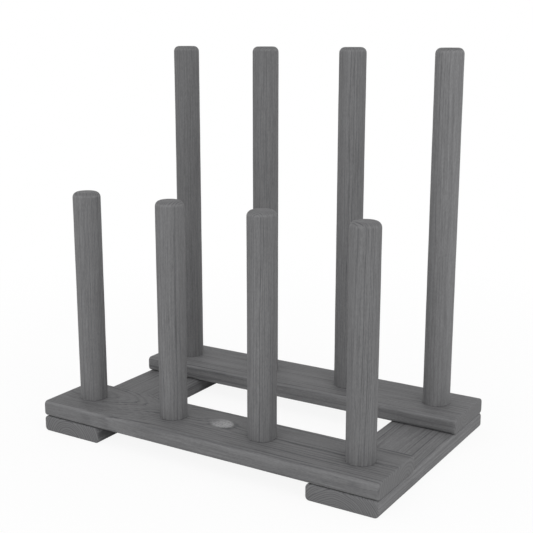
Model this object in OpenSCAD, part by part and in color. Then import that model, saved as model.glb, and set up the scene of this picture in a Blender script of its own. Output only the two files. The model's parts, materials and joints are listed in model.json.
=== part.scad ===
// Boot rack: two sleepers on the floor, two rails across them, and a row of
// four round posts on each rail, short in front and tall behind. A long screw
// comes up through the rail into each post, and two short screws come up
// through the sleeper into the rail where they cross.
//
// The origin is the middle of the footprint, on the floor. X runs along the
// rails, the front of the rack faces -Y and Z is up. Lengths are millimetres.

/* [Rails] */
// Length of a rail, which is the width of the rack
rail_len = 500; // [450:1:640]
// Width of a rail, front to back
rail_w = 98; // [80:1:110]
// Thickness of a rail
rail_t = 21; // [18:0.5:30]

/* [Sleepers] */
// Length of a sleeper, which is the depth of the rack
sleeper_len = 324; // [280:1:400]
// Width of a sleeper
sleeper_w = 94; // [80:1:110]
// Thickness of a sleeper
sleeper_t = 21; // [18:0.5:30]

/* [Board edges] */
// Radius of the rounded long edges of every board
board_round = 5; // [1:0.5:8]

/* [Posts] */
// Diameter of a post
post_d = 36.5; // [32:0.5:44]
// Distance from the end of a rail to the centre of its outer post
post_inset = 47; // [30:1:70]
// Height of a front post above its rail
front_post_h = 283; // [150:1:400]
// Height of a back post above its rail
back_post_h = 467; // [300:1:600]
// Radius of the rounding round the top of a post
post_round = 7.5; // [2:0.5:8]

/* [Screws] */
// Length of the screw that holds a post
post_screw_len = 70; // [50:5:100]
// Length of a screw that holds a rail to a sleeper
joint_screw_len = 35; // [30:1:38]
// Outer diameter of the screw thread
screw_d = 5; // [4:0.5:6]
// Diameter of the screw below its thread and of its plain shank
screw_core_d = 3.4; // [2.5:0.1:3.8]
// Diameter of the countersunk head
screw_head_d = 9.6; // [8:0.1:12]
// Distance from one thread ridge to the next
thread_pitch = 2.8; // [2:0.1:4]
// Length of the plain shank on the post screw, head included
post_screw_plain = 27; // [10:1:35]
// Length of the plain shank on the joint screw, head included
joint_screw_plain = 14; // [8:1:20]
// Distance of a joint screw from the middle of its crossing, along the rail
joint_screw_dx = 28; // [15:1:36]
// Distance of a joint screw from the middle of its crossing, along the sleeper
joint_screw_dy = 26; // [15:1:36]

/* [Hidden] */

$fn = 64;

// Colours: grey wood stain and zinc-plated steel
wood_grey = "#6c6c6d";
zinc = "#b4b7ba";

// Signs that pick a side of the rack
left = -1;
right = 1;
front = -1;
back = 1;

// Posts in a row, and the distance from one to the next
posts_per_row = 4;
post_pitch = (rail_len - 2 * post_inset) / (posts_per_row - 1);

// Where the centre lines of the boards lie, either side of the middle
rail_y = (sleeper_len - rail_w) / 2;
sleeper_x = (rail_len - sleeper_w) / 2;

// Heights of the underside and the top of the rails
rail_z = sleeper_t;
rail_top_z = sleeper_t + rail_t;

// Screw head: its straight rim, and its full height down to the shank
head_rim = 0.5;
head_h = head_rim + (screw_head_d - screw_core_d) / 2;
// How far a head lies below the face that it is driven into
head_sink = 1.2;
// Length of the screw's point
screw_point = 6;
// Cross recess in the head: span of its arms, their width and their depth
recess_span = 5.2;
recess_w = 1.1;
recess_depth = 2.4;

// Room left all round a screw in its hole
screw_room = 0.1;
// How far a cut runs past the face that it opens
overrun = 1;

// Place of a post along its rail, counted from 1 at the left
function post_x(i) = (i - (posts_per_row + 1) / 2) * post_pitch;

// Outline of the thread from its start up to the point, one ridge a pitch
function thread_outline(from, to) =
    let (ridges = floor((to - from) / thread_pitch))
    [for (i = [0 : ridges - 1])
        each [[screw_core_d / 2, from + i * thread_pitch],
              [screw_d / 2, from + (i + 1 / 2) * thread_pitch],
              [screw_core_d / 2, from + (i + 1) * thread_pitch]]];

// Board section in the XY plane, with four rounded corners
module board_section(width, thickness) {
    square([width - 2 * board_round, thickness], center = true);
    square([width, thickness - 2 * board_round], center = true);
    for (x = [-1, 1], y = [-1, 1])
        translate([x * (width / 2 - board_round), y * (thickness / 2 - board_round)])
            circle(board_round);
}

// Wood screw with its head at the bottom: the head's flat face is at z = 0
// and the point is at the top
module wood_screw(length, plain) {
    color(zinc)
    difference() {
        rotate_extrude()
            polygon(concat(
                [[0, 0], [screw_head_d / 2, 0], [screw_head_d / 2, head_rim],
                 [screw_core_d / 2, head_h]],
                thread_outline(plain, length - screw_point),
                [[0, length]]));
        for (turn = [0, 90])
            rotate(turn)
                translate([-recess_span / 2, -recess_w / 2, -overrun])
                    cube([recess_span, recess_w, overrun + recess_depth]);
    }
}

// Room that such a screw takes up in the wood, open below its head
module screw_hole(length) {
    head_room = screw_head_d / 2 + screw_room;
    shank_room = screw_d / 2 + screw_room;
    rotate_extrude()
        polygon([[0, -head_sink - overrun], [head_room, -head_sink - overrun],
                 [head_room, head_rim], [shank_room, head_rim + head_room - shank_room],
                 [shank_room, length - screw_point], [0, length + screw_room]]);
}

// Places its children where the screw of post i lies
module at_post_screw(row, i)
    translate([post_x(i), row * rail_y, rail_z + head_sink])
        children();

// Places its children at the two joint screws of one crossing
module at_joint_screws(side, row)
    for (end = [-1, 1])
        translate([side * (sleeper_x + end * joint_screw_dx),
                   row * (rail_y + end * joint_screw_dy), head_sink])
            children();

module sleeper(side)
    color(wood_grey)
    difference() {
        translate([side * sleeper_x, 0, sleeper_t / 2])
            rotate([90, 0, 0])
                linear_extrude(sleeper_len, center = true)
                    board_section(sleeper_w, sleeper_t);
        for (row = [front, back])
            at_joint_screws(side, row) screw_hole(joint_screw_len);
    }

module rail(row)
    color(wood_grey)
    difference() {
        translate([0, row * rail_y, rail_z + rail_t / 2])
            rotate([90, 0, 90])
                linear_extrude(rail_len, center = true)
                    board_section(rail_w, rail_t);
        for (i = [1 : posts_per_row])
            at_post_screw(row, i) screw_hole(post_screw_len);
        for (side = [left, right])
            at_joint_screws(side, row) screw_hole(joint_screw_len);
    }

// Round post with a flat foot and a rounded top
module post(row, i, height)
    color(wood_grey)
    difference() {
        translate([post_x(i), row * rail_y, rail_top_z])
            rotate_extrude() {
                square([post_d / 2, height - post_round]);
                square([post_d / 2 - post_round, height]);
                translate([post_d / 2 - post_round, height - post_round])
                    circle(post_round);
            }
        at_post_screw(row, i) screw_hole(post_screw_len);
    }

module front_post(i) post(front, i, front_post_h);

module back_post(i) post(back, i, back_post_h);

module post_screw(row, i)
    at_post_screw(row, i) wood_screw(post_screw_len, post_screw_plain);

module joint_screws(side, row)
    at_joint_screws(side, row) wood_screw(joint_screw_len, joint_screw_plain);

sleeper(left);  // left_sleeper
sleeper(right);  // right_sleeper
rail(front);  // front_rail
rail(back);  // back_rail
front_post(1);  // front_post_1
front_post(2);  // front_post_2
front_post(3);  // front_post_3
front_post(4);  // front_post_4
back_post(1);  // back_post_1
back_post(2);  // back_post_2
back_post(3);  // back_post_3
back_post(4);  // back_post_4
post_screw(front, 1);  // front_post_screw_1
post_screw(front, 2);  // front_post_screw_2
post_screw(front, 3);  // front_post_screw_3
post_screw(front, 4);  // front_post_screw_4
post_screw(back, 1);  // back_post_screw_1
post_screw(back, 2);  // back_post_screw_2
post_screw(back, 3);  // back_post_screw_3
post_screw(back, 4);  // back_post_screw_4
joint_screws(left, front);  // left_front_joint_screws
joint_screws(left, back);  // left_back_joint_screws
joint_screws(right, front);  // right_front_joint_screws
joint_screws(right, back);  // right_back_joint_screws
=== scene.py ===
# Boot rack of planed softwood, brushed and stained dark grey. Lengths are metres, in the
# rack's own frame: X along the rails, the front of the rack faces -Y, Z up, floor at 0.
import json
import math

import bmesh
import bpy
from mathutils import Euler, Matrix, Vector, noise

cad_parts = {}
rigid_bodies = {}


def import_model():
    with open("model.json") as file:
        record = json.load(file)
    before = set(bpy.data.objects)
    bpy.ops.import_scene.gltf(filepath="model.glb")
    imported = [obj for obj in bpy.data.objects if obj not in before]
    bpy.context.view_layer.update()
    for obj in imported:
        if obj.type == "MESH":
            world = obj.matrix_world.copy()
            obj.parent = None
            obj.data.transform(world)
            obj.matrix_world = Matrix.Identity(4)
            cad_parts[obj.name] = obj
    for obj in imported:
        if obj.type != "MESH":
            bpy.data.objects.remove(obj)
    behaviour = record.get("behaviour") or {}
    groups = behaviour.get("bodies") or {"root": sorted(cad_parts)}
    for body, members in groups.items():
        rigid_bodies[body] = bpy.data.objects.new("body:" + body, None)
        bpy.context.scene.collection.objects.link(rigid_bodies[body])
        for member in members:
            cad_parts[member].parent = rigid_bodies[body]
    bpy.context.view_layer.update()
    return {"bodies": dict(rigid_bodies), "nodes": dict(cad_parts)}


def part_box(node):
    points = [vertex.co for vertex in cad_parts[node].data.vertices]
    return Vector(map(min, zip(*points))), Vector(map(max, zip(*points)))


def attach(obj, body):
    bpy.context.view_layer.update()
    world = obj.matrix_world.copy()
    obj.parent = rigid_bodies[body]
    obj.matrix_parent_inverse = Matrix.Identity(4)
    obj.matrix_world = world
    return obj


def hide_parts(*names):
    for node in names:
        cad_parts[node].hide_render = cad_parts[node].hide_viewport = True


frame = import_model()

MM = 0.001
ROOT = next(iter(frame["bodies"]))
POSTS_PER_ROW = 4

# Forms of the wooden pieces
BOARD_ROUND = 5 * MM            # long edges of a board, planed round
CUT_EASE = 2.2 * MM             # its sawn ends, taken off with sandpaper
CUT_MARGIN = 2 * CUT_EASE       # how far from such an end the mesh steps stay fine
POST_ROUND = 7.5 * MM           # top of a post
POST_FOOT_EASE = 0.4 * MM       # its sawn foot
SANDED_OFF = 0.3 * MM           # most that uneven sanding takes off
SANDED_LENGTH = 35 * MM         # how far one such hollow runs
SANDED_SHIFTS = (1.0, 1.7, 0.3)   # a piece's seed moves its hollows by these shares

# How pale the stain is painted, from 0 for not at all to 1: rubbed away by use, and partly painted
# light
# On the long edges of a board and the rim of a post this is partly a painted highlight
EDGE_WEAR_AND_HIGHLIGHT = {"rail": 1.0, "sleeper": 0.6}    # long edges of a board
END_WEAR = 0.5                  # round its sawn ends
TOP_WEAR_AND_HIGHLIGHT = 0.95                 # where the rounded top of a post meets its side
# Painted light: a post is painted paler towards its foot, where shade falls
FOOT_PAINTED_LIGHT = 0.85                # at its foot
FOOT_LIGHT_REACH = 60 * MM             # how far up from there it runs
WEAR_AND_LIGHT_POWER = 3.0                # the stain gives way late, by this power of the wear

# Mesh steps
ARC_STEPS = 8                   # round the long edge of a board or the top of a post
EASE_STEPS = 3                  # round a sawn end
STATION_STEP = 5 * MM           # along a board or a post, short enough for the sanding
POST_SIDES = 72
HOLE_SIDES = 32
SHARP_ANGLE = 40                # degrees from which an edge isn't shaded smooth

# Holes that the wood screws sit in
HEAD_SINK = 1.2 * MM            # how far a head lies below the face that it is driven into
HEAD_RIM = 0.5 * MM             # straight rim of a head
SHANK_ROOM = 2.6 * MM           # radius of the hole along the thread
HOLE_ROOM = 0.1 * MM            # room left all round
HOLE_OVERRUN = 1 * MM           # how far a cut runs past the face that it opens
SCREW_POINT = 6 * MM            # length of a screw's point


def linear(hex_colour):
    """An sRGB hex colour as linear red, green, blue and alpha."""
    shares = [int(hex_colour[at:at + 2], 16) / 255 for at in (1, 3, 5)]
    return (*[c / 12.92 if c <= 0.04045 else ((c + 0.055) / 1.055) ** 2.4 for c in shares], 1.0)


def add(tree, kind, result=0, **given):
    """Adds a node and returns one of its results.

    Each given name is a property of the node or else one of its inputs, where _2 means
    input number 2. An input takes a value, or another node's result.
    """
    made = tree.nodes.new("ShaderNode" + kind)
    for name, value in given.items():
        if name in made.bl_rna.properties:
            setattr(made, name, value)
            continue
        place = int(name[1:]) if name[0] == "_" else name.replace("_", " ")
        if isinstance(value, bpy.types.NodeSocket):
            tree.links.new(value, made.inputs[place])
        else:
            made.inputs[place].default_value = value
    return made.outputs[result] if made.outputs else made


def new_material(name):
    """A material with nothing in it, and its node tree."""
    mat = bpy.data.materials.new(name)
    mat.use_nodes = True
    mat.node_tree.nodes.clear()
    return mat, mat.node_tree


# Brushed softwood under a matt grey stain. The hard late wood of each ring shows as a dark
# line, thin on a sawn end and drawn out along a face, and the brush has left it a little
# proud. The stain has gone on unevenly along the fibres.
EARLY_WOOD = "#6f6f70"
LATE_WOOD = "#49494b"
# Pale colour for rubbed stain on edges and rims, which is partly a painted highlight there, and
# for the painted light at a post's foot
PALE_WEAR_AND_LIGHT = "#8c8c8d"
BARE_KNOT = "#a3a3a4"
KNOT_RIM = "#4e4e50"
DARK_KNOT = "#555557"
DARK_KNOT_SHARE = 0.45          # how far a dark knot hides the wood's own colour
SAWN_SHADE = 0.86               # sawn ends soak up more of the stain,
SAWN_LIFT = 0.2                 # less so between bold rings
GRAIN_RELIEF = 0.04 * MM
FIBRE_RELIEF = 0.06 * MM
WOOD_IOR = 1.45
WOOD_SPECULAR = 0.3             # the stain is dull
WOOD_ROUGHNESS = (0.60, 0.75)   # along the fibres, never glossy

# Patterns in the wood as (size across the grain, size along it, detail). Fibres and
# flecks are drawn coarser than real ones, to show.
PATTERNS = {
    "sway": (40 * MM, 400 * MM, 2.0),       # rings stray slowly from true circles
    "ripple": (1.8 * MM, 90 * MM, 1.0),     # and are feathered where the brush went over them
    "fibre": (1.3 * MM, 32 * MM, 2.0),
    "streak": (4.0 * MM, 150 * MM, 3.0),    # bundles that took the stain alike
    "patch": (50 * MM, 90 * MM, 2.0),       # slow changes of tone
    "fleck": (1.0 * MM, 12 * MM, 1.0),      # short dark dashes where the brush tore the grain
    "grit": (0.9 * MM, 3.5 * MM, 0.0),      # pores and dust
    "mottle": (2.6 * MM, 3.6 * MM, 2.0),    # the stain on a bare knot
}
PATTERN_SHIFT = 5.3             # sets one pattern apart from the next, in its own sizes

# Growth rings
SWAY = 2.0 * MM
# In rings: how far the ripple goes, how far good and bad years put a ring from an even
# count, and how many years they take to follow one another
RIPPLE = 0.22
YEARS_VARY = 0.30
YEARS_RUN = 2.5
YEAR_STOP = 0.92                # share of a year at which its late wood stops short
FAINTEST_RING = 0.2             # on a face, as a share of the boldest
RING_FACE = 0.85                # from here on a face counts as lying along the rings,
RING_FACE_SHARE = 0.4           # and where it does they show this much

# Soft steps from one share to another, as (start, end, share before, share after)
SOFT_STEPS = {
    "sawn": (0.40, 0.75, 0.0, 1.0),         # by how squarely a face cuts the grain
    "late wood": (0.40, 0.90, 0.0, 1.0),    # by the share of the year that has gone
    "fibre": (0.30, 0.70, 0.91, 1.09),      # tone, by each pattern's own noise
    "streak": (0.30, 0.70, 0.96, 1.04),
    "patch": (0.30, 0.70, 0.98, 1.02),
    "fleck": (0.58, 0.70, 1.0, 0.88),
    "grit": (0.25, 0.75, 0.93, 1.07),
    "knot rim": (0.86, 1.0, 0.0, 1.0),      # by the distance from a bare knot's middle,
    "rim end": (1.04, 1.25, 0.55, 0.0),     # where its edge is at 1
    "bare": (0.70, 1.0, 1.0, 0.0),
    "far side": (0.20, 0.90, 0.0, 1.0),     # by the place across it
    "near side": (-0.90, 0.25, 0.10, 1.0),
    "mottle": (0.36, 0.56, 0.45, 1.0),
    # paleness of edges, rims and a post's foot, by the streaks: rubbed stain, partly a painted
    # highlight, and painted light
    "wear_and_light_share": (0.30, 0.70, 0.10, 0.38),       # worn edges, by the streaks
}
# The same as settings for a Map Range node
SOFT = {name: {"interpolation_type": "SMOOTHSTEP", "_1": start, "_2": end, "_3": before,
               "_4": after}
        for name, (start, end, before, after) in SOFT_STEPS.items()}
KNOT_RAGGED = 0.3               # how far a bare knot's edge strays, as a share of its radius

# Turns that lay a log, which grows along Z, along the axis of a piece
LOG_TURNS = {"X": (0, math.pi / 2, 0), "Y": (-math.pi / 2, 0, 0), "Z": (0, 0, 0)}


def softwood(name, grain, heart, tilt, seed, ring, tone, boldness, knots=()):
    """Wood sawn from one log.

    grain is the axis that the piece runs along, heart a point on the middle of the log, and
    tilt the two small angles in degrees at which the log's middle crosses the piece, which
    make the rings run out into arches. ring is the width of a year's growth, tone how pale
    the stain has left the piece, and boldness how strongly late wood shows on its faces and
    on its sawn ends. A knot is (place, turn in degrees, three radii, rings that it pushes
    aside, look), where look is bare, dark or hidden.
    """
    face_boldness, sawn_boldness = boldness
    mat, tree = new_material(name)
    place = add(tree, "TexCoord", "Object")
    tilted = Euler((math.radians(tilt[0]), math.radians(tilt[1]), 0))
    turn = (Euler(LOG_TURNS[grain]).to_matrix() @ tilted.to_matrix()).to_euler()
    log = add(tree, "Mapping", vector_type="TEXTURE", Vector=place, Location=heart, Rotation=turn)
    log = add(tree, "VectorMath", operation="ADD", _0=log, _1=(0, 0, seed))
    noises = {}
    for order, (pattern, (across, along, detail)) in enumerate(PATTERNS.items()):
        stretched = add(tree, "VectorMath", operation="MULTIPLY_ADD", _0=log,
                        _1=(1 / across, 1 / across, 1 / along), _2=(PATTERN_SHIFT * order,) * 3)
        noises[pattern] = add(tree, "TexNoise", Vector=stretched, Scale=1.0, Detail=detail)

    # A sawn end shows the rings cleanly, without the fibres that run along a face
    normal = add(tree, "Mapping", vector_type="TEXTURE", Vector=add(tree, "TexCoord", "Normal"),
                 Rotation=turn)
    facing = add(tree, "Math", operation="ABSOLUTE", _0=add(tree, "SeparateXYZ", "Z", _0=normal))
    sawn = add(tree, "MapRange", Value=facing, **SOFT["sawn"])
    for pattern in ("ripple", "fibre"):
        noises[pattern] = add(tree, "Mix", data_type="FLOAT", _0=sawn, _2=noises[pattern], _3=0.5)

    # Distance from the middle of the log, which the rings follow. A noise seldom leaves the
    # middle half of its range, so it is stretched to twice the most that it may shift them.
    outward = add(tree, "VectorMath", operation="MULTIPLY", _0=log, _1=(1, 1, 0))
    radius = add(tree, "VectorMath", "Value", operation="LENGTH", _0=outward)
    noises["years"] = add(tree, "TexNoise", noise_dimensions="1D", Scale=1 / (YEARS_RUN * ring),
                          Detail=1.0, W=add(tree, "Math", operation="ADD", _0=radius, _1=seed))
    for pattern, most in (("sway", SWAY), ("ripple", RIPPLE * ring),
                          ("years", YEARS_VARY * ring)):
        shift = add(tree, "MapRange", Value=noises[pattern], _3=-2 * most, _4=2 * most)
        radius = add(tree, "Math", operation="ADD", _0=radius, _1=shift)
    bare_knots, dark_knots = [], []
    for knot_place, knot_turn, radii, push, look in knots:
        off = add(tree, "Mapping", vector_type="TEXTURE", Vector=place, Location=knot_place,
                  Rotation=(0, 0, math.radians(knot_turn)), Scale=radii)
        fade = add(tree, "VectorMath", "Value", operation="DOT_PRODUCT", _0=off, _1=off)
        fade = add(tree, "Math", operation="MULTIPLY", _0=fade, _1=-1.0)
        fade = add(tree, "Math", operation="EXPONENT", _0=fade)
        radius = add(tree, "Math", operation="MULTIPLY_ADD", _0=fade, _1=push * ring, _2=radius)
        bare_knots += [off] if look == "bare" else []
        dark_knots += [fade] if look == "dark" else []

    # Late wood: it darkens slowly through the year and stops short
    years = add(tree, "Math", operation="DIVIDE", _0=radius, _1=ring)
    season = add(tree, "Math", operation="FRACT", _0=years)
    darkening = add(tree, "MapRange", Value=season, **SOFT["late wood"])
    stop = add(tree, "MapRange", Value=season, _1=YEAR_STOP, _2=1.0, _3=1.0, _4=0.0)
    late = add(tree, "Math", operation="MULTIPLY", _0=darkening, _1=stop)

    # Some rings are bold and some faint, and where a face lies along them they run together
    mood = add(tree, "TexWhiteNoise", "Value", noise_dimensions="1D",
               W=add(tree, "Math", operation="FLOOR", _0=years))
    mood = add(tree, "MapRange", Value=mood, _3=FAINTEST_RING, _4=1.0)
    outward = add(tree, "VectorMath", operation="NORMALIZE", _0=outward)
    along_ring = add(tree, "VectorMath", "Value", operation="DOT_PRODUCT", _0=normal, _1=outward)
    along_ring = add(tree, "Math", operation="ABSOLUTE", _0=along_ring)
    clear = add(tree, "MapRange", interpolation_type="SMOOTHSTEP", Value=along_ring,
                _1=RING_FACE, _2=1.0, _3=face_boldness, _4=RING_FACE_SHARE * face_boldness)
    clear = add(tree, "Math", operation="MULTIPLY", _0=clear, _1=mood)
    clear = add(tree, "Mix", data_type="FLOAT", _0=sawn, _2=clear, _3=sawn_boldness)
    late = add(tree, "Math", operation="MULTIPLY", _0=late, _1=clear)
    colour = add(tree, "Mix", 2, data_type="RGBA", _0=late, _6=linear(EARLY_WOOD),
                 _7=linear(LATE_WOOD))

    # How the stain took, along the fibres of a face and on a sawn end
    shade = tone
    for pattern in ("fibre", "streak", "patch", "fleck"):
        share = add(tree, "MapRange", Value=noises[pattern], **SOFT[pattern])
        shade = add(tree, "Math", operation="MULTIPLY", _0=shade, _1=share)
    shade = add(tree, "Mix", data_type="FLOAT", _0=sawn, _2=shade,
                _3=SAWN_SHADE + SAWN_LIFT * sawn_boldness)
    share = add(tree, "MapRange", Value=noises["grit"], **SOFT["grit"])
    shade = add(tree, "Math", operation="MULTIPLY", _0=shade, _1=share)
    colour = add(tree, "VectorMath", operation="SCALE", _0=colour, Scale=shade)

    for fade in dark_knots:
        fade = add(tree, "Math", operation="MULTIPLY", _0=fade, _1=DARK_KNOT_SHARE)
        colour = add(tree, "Mix", 2, data_type="RGBA", _0=fade, _6=colour, _7=linear(DARK_KNOT))
    for off in bare_knots:
        colour = bare_knot(tree, colour, off, noises["mottle"])

    # Edges and rims painted paler in places: rubbed stain, partly a painted highlight, and painted
    # light that lifts the shade at a post's foot
    edge = add(tree, "Attribute", "Fac", attribute_name="edge")
    edge = add(tree, "Math", operation="POWER", _0=edge, _1=WEAR_AND_LIGHT_POWER)
    wear_and_light_share = add(tree, "MapRange", Value=noises["streak"], **SOFT["wear_and_light_share"])
    wear_and_light_share = add(tree, "Math", operation="MULTIPLY", _0=edge, _1=wear_and_light_share)
    colour = add(tree, "Mix", 2, data_type="RGBA", _0=wear_and_light_share, _6=colour, _7=linear(PALE_WEAR_AND_LIGHT))

    height = add(tree, "Math", operation="MULTIPLY", _0=noises["fibre"], _1=FIBRE_RELIEF)
    height = add(tree, "Math", operation="MULTIPLY_ADD", _1=GRAIN_RELIEF, _2=height,
                 _0=add(tree, "Mix", data_type="FLOAT", _0=sawn, _2=late, _3=0.0))
    normal = add(tree, "Bump", Strength=1.0, Distance=1.0, Height=height)
    rough = add(tree, "MapRange", Value=noises["fibre"], _1=0.2, _2=0.8,
                _3=WOOD_ROUGHNESS[0], _4=WOOD_ROUGHNESS[1])
    surface = add(tree, "BsdfPrincipled", Base_Color=colour, IOR=WOOD_IOR, Normal=normal,
                  Roughness=rough, Specular_IOR_Level=WOOD_SPECULAR)
    add(tree, "OutputMaterial", Surface=surface)
    return mat


def bare_knot(tree, colour, off, mottle):
    """The wood's colour with a knot in it that the stain hardly took on.

    off is the place measured from the knot's middle in its radii. The knot is dark round
    its far rim, and grey towards its near end.
    """
    distance = add(tree, "VectorMath", "Value", operation="LENGTH", _0=off)
    ragged = add(tree, "MapRange", Value=mottle, _3=-KNOT_RAGGED, _4=KNOT_RAGGED)
    distance = add(tree, "Math", operation="ADD", _0=distance, _1=ragged)
    side = add(tree, "SeparateXYZ", "X", Vector=off)
    layers = (
        (KNOT_RIM, (("knot rim", distance), ("rim end", distance), ("far side", side))),
        (BARE_KNOT, (("bare", distance), ("near side", side), ("mottle", mottle))),
    )
    for layer, steps in layers:
        cover = 1.0
        for step, measure in steps:
            share = add(tree, "MapRange", Value=measure, **SOFT[step])
            cover = add(tree, "Math", operation="MULTIPLY", _0=cover, _1=share)
        colour = add(tree, "Mix", 2, data_type="RGBA", _0=cover, _6=colour, _7=linear(layer))
    return colour


# Zinc plate over the steel of the wood screws. It is bright, with a clouded gloss.
ZINC = "#bfc3c7"
ZINC_CLOUD = 1.5 * MM
ZINC_ROUGHNESS = (0.26, 0.42)


def zinc_plated_steel():
    """The finish of all the screws."""
    mat, tree = new_material("zinc_plated_steel")
    place = add(tree, "TexCoord", "Object")
    cloud = add(tree, "TexNoise", Vector=place, Scale=1 / ZINC_CLOUD, Detail=3.0)
    rough = add(tree, "MapRange", Value=cloud, _1=0.3, _2=0.7,
                _3=ZINC_ROUGHNESS[0], _4=ZINC_ROUGHNESS[1])
    surface = add(tree, "BsdfPrincipled", Base_Color=linear(ZINC), Metallic=1.0,
                  Roughness=rough)
    add(tree, "OutputMaterial", Surface=surface)
    return mat


# Meshes

def loft(bm, loops):
    """Skins a row of closed loops and caps both ends. A loop's points are (place, paleness), the
    share of rubbed stain and painted light there.
    """
    wear_and_light_of = bm.verts.layers.float.get("edge") or bm.verts.layers.float.new("edge")
    rows = []
    for loop in loops:
        row = []
        for place, wear_and_light in loop:
            vert = bm.verts.new(place)
            vert[wear_and_light_of] = wear_and_light
            row.append(vert)
        rows.append(row)
    for a, b in zip(rows, rows[1:]):
        for i in range(len(a)):
            j = (i + 1) % len(a)
            bm.faces.new((a[i], a[j], b[j], b[i]))
    bm.faces.new(rows[0])
    bm.faces.new(rows[-1])
    bmesh.ops.recalc_face_normals(bm, faces=bm.faces)


def new_object(bm, name):
    """An object with bm's mesh."""
    mesh = bpy.data.meshes.new(name)
    bm.to_mesh(mesh)
    bm.free()
    made = bpy.data.objects.new(name, mesh)
    bpy.context.scene.collection.objects.link(made)
    return made


def apply_modifiers(obj):
    """Makes the modified mesh the object's own."""
    bpy.context.view_layer.update()
    graph = bpy.context.evaluated_depsgraph_get()
    mesh = bpy.data.meshes.new_from_object(obj.evaluated_get(graph), depsgraph=graph)
    obj.modifiers.clear()
    obj.data = mesh


def bored(piece, holes):
    """Cuts the holes for screws, given as (x, y, underside of head, head radius, length)."""
    turns = [2 * math.pi * i / HOLE_SIDES for i in range(HOLE_SIDES)]
    bm = bmesh.new()
    for x, y, z, head_radius, length in holes:
        head = head_radius + HOLE_ROOM
        profile = ((-HEAD_SINK - HOLE_OVERRUN, head), (HEAD_RIM, head),
                   (HEAD_RIM + head - SHANK_ROOM, SHANK_ROOM), (length - SCREW_POINT, SHANK_ROOM),
                   (length + HOLE_ROOM, HOLE_ROOM))
        loft(bm, [[((x + radius * math.cos(a), y + radius * math.sin(a), z + up), 0.0)
                   for a in turns] for up, radius in profile])
    cutter = new_object(bm, piece.name + "_holes")
    cut = piece.modifiers.new("screw holes", "BOOLEAN")
    cut.operation = "DIFFERENCE"
    cut.solver = "EXACT"
    cut.object = cutter
    apply_modifiers(piece)
    bpy.data.objects.remove(cutter)


def finished(piece, node, mat):
    """Shades a piece smooth with its flats flat, gives it its wood and puts it in node's place."""
    mesh = piece.data
    mesh.materials.clear()
    mesh.materials.append(mat)
    mesh.polygons.foreach_set("use_smooth", [True] * len(mesh.polygons))
    mesh.set_sharp_from_angle(angle=math.radians(SHARP_ANGLE))
    flats = piece.modifiers.new("flat faces", "WEIGHTED_NORMAL")
    flats.keep_sharp = True
    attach(piece, ROOT)
    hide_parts(node)


def sanding(point, seed):
    """How far uneven sanding has taken the surface down at this point."""
    at = Vector(point) / SANDED_LENGTH + Vector([seed * share for share in SANDED_SHIFTS])
    return SANDED_OFF * (0.5 + 0.5 * noise.noise(at))


def section(width, thickness, inset):
    """Points round a board's section, drawn in by inset, each with how pale its rounded edge is
    painted: rubbed stain, and partly a painted highlight.
    """
    bend = BOARD_ROUND - inset / 2
    points = []
    for quarter, (side, level) in enumerate(((1, 1), (-1, 1), (-1, -1), (1, -1))):
        middle_u = side * (width / 2 - inset - bend)
        middle_v = level * (thickness / 2 - inset - bend)
        for i in range(ARC_STEPS + 1):
            a = math.pi / 2 * (quarter + i / ARC_STEPS)
            points.append((middle_u + bend * math.cos(a), middle_v + bend * math.sin(a),
                           math.sin(math.pi * i / ARC_STEPS)))
    return points


def board(node, grain, mat, seed, holes, edge_wear_and_highlight):
    """A planed board with rounded long edges and sawn ends, in node's place."""
    low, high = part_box(node)
    middle, size = (low + high) / 2, high - low
    length, width = (size.x, size.y) if grain == "X" else (size.y, size.x)

    # Stations as (distance from the end, inset, wear round the end)
    end = [(0.0, CUT_MARGIN, 0.0)]
    for i in range(EASE_STEPS + 1):
        a = math.pi / 2 * i / EASE_STEPS
        end.append((CUT_EASE * (1 - math.cos(a)), CUT_EASE * (1 - math.sin(a)), 1.0))
    steps = round((length - 2 * CUT_MARGIN) / STATION_STEP)
    step = (length - 2 * CUT_MARGIN) / steps
    body = [(CUT_MARGIN + step * i, 0.0, 0.0) for i in range(steps + 1)]
    stations = end + body + [(length - along, inset, wear_and_light) for along, inset, wear_and_light in reversed(end)]

    loops = []
    for along, inset, end_wear in stations:
        loop = []
        for u, v, wear_and_light in section(width, size.z, inset):
            off = 1 - sanding((u, v, along), seed) / math.hypot(u, v)
            at = (along - length / 2, u * off) if grain == "X" else (u * off, along - length / 2)
            # Paler along the rounded long edges, partly as a painted highlight, and round the sawn
            # ends
            wear_and_light_share = max(edge_wear_and_highlight * wear_and_light, END_WEAR * end_wear) if inset <= CUT_EASE else 0.0
            loop.append((middle + Vector((*at, v * off)), wear_and_light_share))
        loops.append(loop)
    bm = bmesh.new()
    loft(bm, loops)
    piece = new_object(bm, node + "_board")
    bored(piece, holes)
    finished(piece, node, mat)


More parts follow.
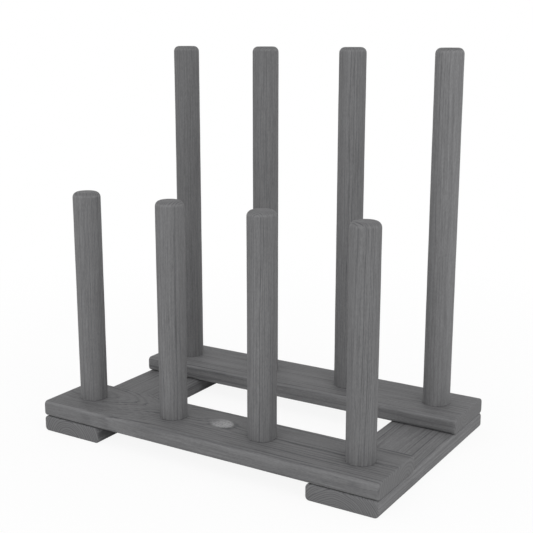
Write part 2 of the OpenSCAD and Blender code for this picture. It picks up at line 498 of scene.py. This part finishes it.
def post(node, mat, seed, holes):
    """A round post with its top rounded over, in node's place."""
    low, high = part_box(node)
    middle, radius, height = (low + high) / 2, (high.x - low.x) / 2, high.z - low.z

    # Its outline from the foot up, as (height, radius, paleness), where paleness is painted light
    # at the foot, and rubbed stain with a painted highlight at the rim
    straight = height - POST_ROUND - POST_FOOT_EASE
    steps = round(straight / STATION_STEP)
    side = [(0.0, radius - POST_FOOT_EASE)]
    side += [(POST_FOOT_EASE + straight * i / steps, radius) for i in range(steps + 1)]
    # Painted light: paler towards the foot, lifting the shade that falls there
    outline = [(up, out, FOOT_PAINTED_LIGHT * max(0.0, 1 - up / FOOT_LIGHT_REACH) ** (1 / WEAR_AND_LIGHT_POWER))
               for up, out in side]
    # The rounded top, its rim painted paler: rubbed stain and partly a painted highlight
    for i in range(1, ARC_STEPS + 1):
        a = math.pi / 2 * i / ARC_STEPS
        lower_half = max(0.0, math.sin(4 * a))
        outline.append((height - POST_ROUND * (1 - math.sin(a)),
                        radius - POST_ROUND * (1 - math.cos(a)), TOP_WEAR_AND_HIGHLIGHT * lower_half))

    loops = []
    for up, out, wear_and_light in outline:
        loop = []
        for i in range(POST_SIDES):
            a = 2 * math.pi * i / POST_SIDES
            off = out - sanding((radius * math.cos(a), radius * math.sin(a), up), seed)
            loop.append((Vector((middle.x + off * math.cos(a), middle.y + off * math.sin(a),
                                 low.z + up)), wear_and_light))
        loops.append(loop)
    bm = bmesh.new()
    loft(bm, loops)
    piece = new_object(bm, node + "_dowel")
    bored(piece, holes)
    finished(piece, node, mat)


# Holes for the screws, as bored() takes them

def post_holes(row, numbers=range(1, POSTS_PER_ROW + 1)):
    """One hole for each post with these numbers."""
    holes = []
    for i in numbers:
        low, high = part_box(f"{row}_post_screw_{i}")
        holes.append(((low.x + high.x) / 2, (low.y + high.y) / 2, low.z,
                      (high.x - low.x) / 2, high.z - low.z))
    return holes


def joint_holes(side, row):
    """The two screws of a crossing lie at opposite corners of their box."""
    low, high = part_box(f"{side}_{row}_joint_screws")
    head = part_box("front_post_screw_1")
    radius = (head[1].x - head[0].x) / 2
    near, far = low.y + radius, high.y - radius
    if low.x * low.y < 0:
        near, far = far, near
    return [(low.x + radius, near, low.z, radius, high.z - low.z),
            (high.x - radius, far, low.z, radius, high.z - low.z)]


# Each board's wood as (middle of the log, tilt, seed, ring, tone, boldness). The middle lies
# where the board's sawn end shows it.
BOARD_WOOD = {
    "left_sleeper": ((-206 * MM, 0, -9 * MM), (0.3, 0.4), 1.3, 3.1 * MM, 1.0, (0.9, 0.7)),
    "right_sleeper": ((195 * MM, 0, -18 * MM), (0.3, -0.3), 2.9, 2.6 * MM, 1.12, (0.9, 0.7)),
    "front_rail": ((250 * MM, -89 * MM, 16 * MM), (0.3, 0.5), 4.1, 5.0 * MM, 1.02, (0.95, 0.4)),
    "back_rail": ((250 * MM, 101 * MM, 44 * MM), (-0.3, 0.4), 5.7, 4.4 * MM, 1.06, (0.9, 0.4)),
}
RAIL_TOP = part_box("front_rail")[1].z
# The pale knot between the middle posts, the swirl at the left end, a bend in the grain
# behind the second post, and a dark knot near each end of the front face
KNOTS = {"front_rail": (
    ((-0.5 * MM, -102 * MM, RAIL_TOP), -12, (21.5 * MM, 14.5 * MM, 60 * MM), 2, "bare"),
    ((-225 * MM, -118 * MM, RAIL_TOP), 0, (100 * MM, 45 * MM, 60 * MM), -6.5, "hidden"),
    ((-98 * MM, -54 * MM, RAIL_TOP), 0, (42 * MM, 38 * MM, 60 * MM), 5, "hidden"),
    ((-176 * MM, -164 * MM, 31 * MM), 0, (11 * MM, 12 * MM, 7 * MM), 0, "dark"),
    ((220 * MM, -164 * MM, 34 * MM), 0, (8 * MM, 12 * MM, 5 * MM), 0, "dark"),
)}


def boards():
    """The two sleepers and the two rails, each from its own board."""
    for node, (pith, tilt, seed, ring, tone, boldness) in BOARD_WOOD.items():
        which, kind = node.split("_")
        if kind == "sleeper":
            grain = "Y"
            holes = joint_holes(which, "front") + joint_holes(which, "back")
        else:
            grain = "X"
            holes = post_holes(which) + joint_holes("left", which) + joint_holes("right", which)
        wood = softwood("brushed_softwood_" + node, grain, pith, tilt, seed, ring, tone,
                        boldness, KNOTS.get(node, ()))
        board(node, grain, wood, seed, holes, EDGE_WEAR_AND_HIGHLIGHT[kind])


# Posts are turned from finer grown wood, in which the rings show less. Each is given as
# (tone, bearing of its log's middle in degrees, distance to it, tilt in degrees, ring).
POST_BOLDNESS = (0.65, 0.9)
POST_WOOD = {
    "front": ((1.03, 20, 30 * MM, 0.25, 2.0 * MM), (1.05, 185, 42 * MM, 0.25, 2.2 * MM),
              (1.03, -83, 30 * MM, 0.6, 1.8 * MM), (0.97, 50, 28 * MM, 0.4, 2.3 * MM)),
    "back": ((0.90, 20, 33 * MM, 0.25, 1.9 * MM), (0.97, 165, 42 * MM, 0.25, 2.2 * MM),
             (1.0, 29, 24 * MM, 0.5, 1.7 * MM), (1.14, 166, 33 * MM, 0.4, 2.0 * MM)),
}
FIRST_SEEDS = {"front": 11.0, "back": 31.0}
SEED_STEP = 2.3
TILT_TURNS = 3                  # a tilt's bearing, counted in bearings of the log's middle


def posts():
    """The short posts in front and the tall ones behind."""
    for row, woods in POST_WOOD.items():
        for i, (tone, bearing, away, tilt, ring) in enumerate(woods, 1):
            node = f"{row}_post_{i}"
            low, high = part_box(node)
            seed = FIRST_SEEDS[row] + SEED_STEP * i
            turn = math.radians(bearing)
            lean = TILT_TURNS * turn
            heart = ((low.x + high.x) / 2 + away * math.cos(turn),
                     (low.y + high.y) / 2 + away * math.sin(turn), low.z)
            wood = softwood("brushed_softwood_" + node, "Z", heart,
                            (tilt * math.cos(lean), tilt * math.sin(lean)), seed, ring, tone,
                            POST_BOLDNESS)
            post(node, wood, seed, post_holes(row, [i]))


def screws():
    """The screws keep their own shape and get their plating."""
    steel = zinc_plated_steel()
    for name, obj in frame["nodes"].items():
        if "screw" in name:
            obj.data.materials.clear()
            obj.data.materials.append(steel)


# Studio: a pale floor, soft light all round, and soft lamps from the front left and the right

FLOOR_SIZE = 8.0
FLOOR_WHITE = "#f8f8f8"
AROUND_LEVEL = 0.80
CAMERA_WHITE_SHARE = 0.9        # how white the camera sees the floor under the rack
SHADOW_REACH = (0.3, 1.2)       # from here to here the floor turns plain white
LAMP_AIM = Vector((0, 0, 0.2))
LAMP_DISTANCE = 2.6
LAMP_SIZE = 1.6

# The photograph's view, turned in degrees from straight on and down from level
CAMERA_PLACE = (0.6886, -1.1031, 0.5232)
CAMERA_TURN = 31.826
CAMERA_DOWN = 12.836
SENSOR_WIDTH = 36.0             # in the lens's own millimetres
FOCAL_PIXELS = 1012.0
PICTURE_PIXELS = 533


def floor():
    """Matt white paint, which keeps a faint shadow under the rack."""
    bpy.ops.mesh.primitive_plane_add(size=FLOOR_SIZE, location=(0, 0, 0))
    plane = bpy.context.object
    plane.name = "floor"
    mat, tree = new_material("white_painted_floor")
    off = add(tree, "VectorMath", "Value", operation="LENGTH", _0=add(tree, "TexCoord", "Object"))
    white = add(tree, "MapRange", interpolation_type="SMOOTHSTEP", Value=off, _1=SHADOW_REACH[0],
                _2=SHADOW_REACH[1], _3=CAMERA_WHITE_SHARE, _4=1.0)
    seen = add(tree, "LightPath", "Is Camera Ray")
    share = add(tree, "Math", operation="MULTIPLY", _0=seen, _1=white)
    paint = add(tree, "BsdfDiffuse", Color=linear(FLOOR_WHITE))
    glow = add(tree, "Emission", Strength=1.0)
    add(tree, "OutputMaterial", Surface=add(tree, "MixShader", _0=share, _1=paint, _2=glow))
    plane.data.materials.append(mat)


def surroundings():
    """Plain light all round, and a white backdrop for the camera and for reflections."""
    world = bpy.data.worlds.new("studio")
    bpy.context.scene.world = world
    world.use_nodes = True
    tree = world.node_tree
    tree.nodes.clear()
    seen = add(tree, "LightPath", "Is Camera Ray")
    for ray in ("Is Glossy Ray", "Is Transmission Ray"):
        seen = add(tree, "Math", operation="MAXIMUM", _0=seen, _1=add(tree, "LightPath", ray))
    level = add(tree, "MapRange", Value=seen, _3=AROUND_LEVEL, _4=1.0)
    sky = add(tree, "Background", Color=linear("#ffffff"), Strength=level)
    add(tree, "OutputWorld", Surface=sky)


def lamp(name, azimuth, elevation, level):
    """A square soft lamp. A white surface that faces it gains this level of light."""
    light = bpy.data.lights.new(name, "AREA")
    light.size = LAMP_SIZE
    light.energy = level * math.pi ** 2 * LAMP_DISTANCE ** 2
    a, e = math.radians(azimuth), math.radians(elevation)
    away = Vector((math.sin(a) * math.cos(e), -math.cos(a) * math.cos(e), math.sin(e)))
    obj = bpy.data.objects.new(name, light)
    bpy.context.scene.collection.objects.link(obj)
    obj.location = LAMP_AIM + away * LAMP_DISTANCE
    obj.rotation_euler = away.to_track_quat("Z", "Y").to_euler()


def camera():
    """The photograph's view of the rack, from the front right and a little above."""
    lens = bpy.data.cameras.new("camera")
    lens.sensor_width = SENSOR_WIDTH
    lens.lens = FOCAL_PIXELS / PICTURE_PIXELS * lens.sensor_width
    obj = bpy.data.objects.new("camera", lens)
    bpy.context.scene.collection.objects.link(obj)
    obj.location = CAMERA_PLACE
    obj.rotation_euler = (math.radians(90 - CAMERA_DOWN), 0, math.radians(CAMERA_TURN))
    bpy.context.scene.camera = obj


camera()
boards()
posts()
screws()
floor()
surroundings()
lamp("key", -15, 20, 0.12)
lamp("fill", 62, 34, 0.20)
bpy.context.scene.view_settings.view_transform = "Standard"
